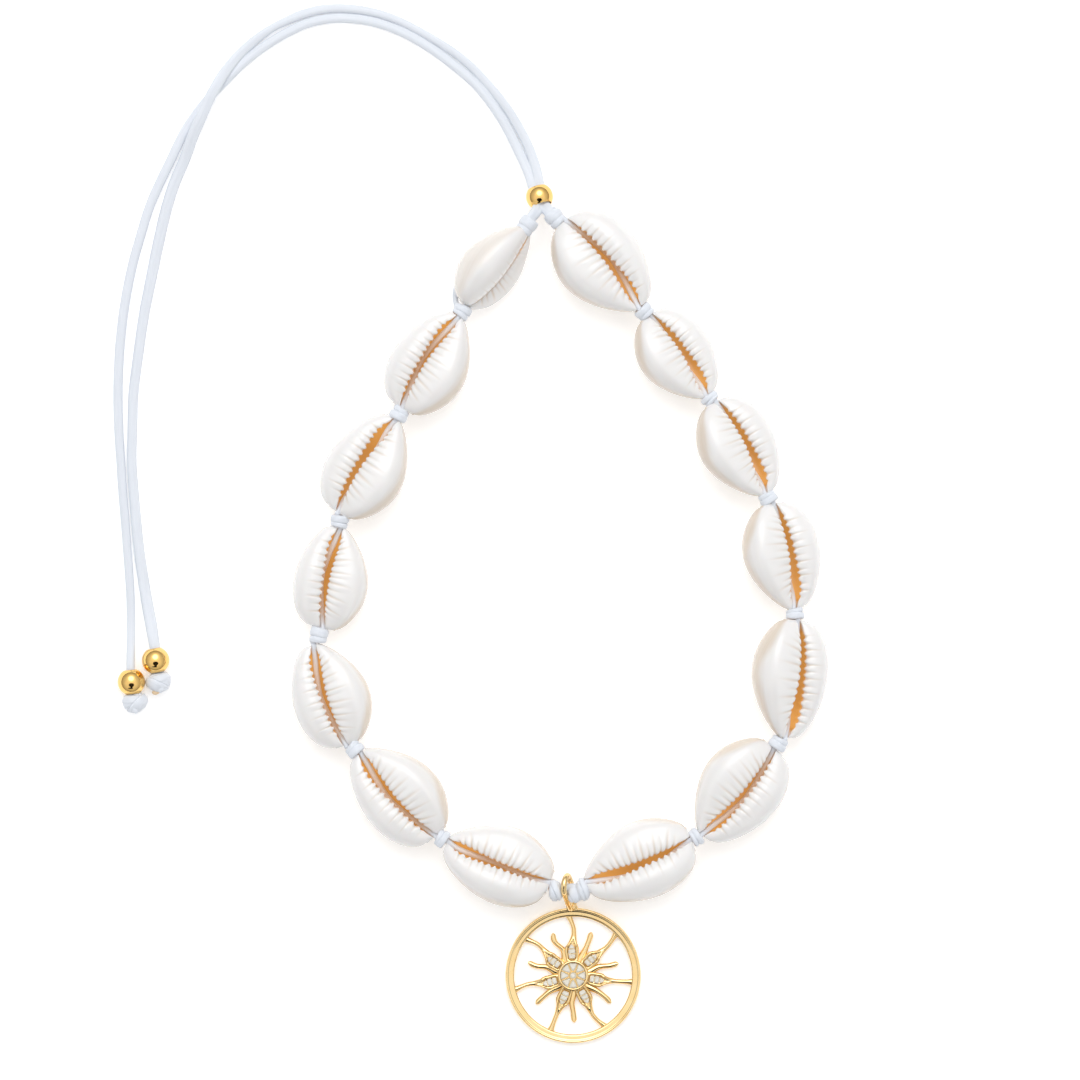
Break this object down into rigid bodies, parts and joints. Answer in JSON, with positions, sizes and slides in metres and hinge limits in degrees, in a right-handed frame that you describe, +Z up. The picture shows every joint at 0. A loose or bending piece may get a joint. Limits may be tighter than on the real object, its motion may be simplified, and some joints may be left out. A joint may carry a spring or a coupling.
{
  "type": "shell choker",
  "caption": "Adjustable choker of cowrie shells knotted on a doubled white cord, with a pierced gold-tone sun pendant at the front, a slide bead at the back and long tails ending in beads.",
  "frame": {"origin": "middle of the box around the choker without its loose tails, on the surface that it lies on", "axes": "+X to the right as the choker is seen from above, +Y from the pendant at the front to the slide bead at the back, +Z up out of the shells' mouths"},
  "size_m": [0.1354, 0.1976, 0.0126],
  "materials": {
    "shell": "natural porcelain gloss",
    "cord": "waxed",
    "gold": "polished gold plate",
    "stone": "cut and polished"
  },
  "bodies": {
    "root": {"shell_left_1": "shell", "shell_left_2": "shell", "shell_left_3": "shell", "shell_left_4": "shell", "shell_left_5": "shell", "shell_left_6": "shell", "shell_left_7": "shell", "shell_right_1": "shell", "shell_right_2": "shell", "shell_right_3": "shell", "shell_right_4": "shell", "shell_right_5": "shell", "shell_right_6": "shell", "shell_right_7": "shell", "knot_left_1": "cord", "knot_left_2": "cord", "knot_left_3": "cord", "knot_left_4": "cord", "knot_left_5": "cord", "knot_left_6": "cord", "knot_left_7": "cord", "knot_left_8": "cord", "knot_right_1": "cord", "knot_right_2": "cord", "knot_right_3": "cord", "knot_right_4": "cord", "knot_right_5": "cord", "knot_right_6": "cord", "knot_right_7": "cord", "knot_right_8": "cord", "thread_left": "cord", "thread_right": "cord", "thread_pendant": "cord", "tail_left": "cord", "tail_right": "cord", "end_knot_left": "cord", "end_knot_right": "cord", "slide_bead": "gold", "end_bead_left": "gold", "end_bead_right": "gold", "sun_pendant": "gold", "centre_stones": "stone", "ray_stones": "stone"}
  },
  "joints": []
}
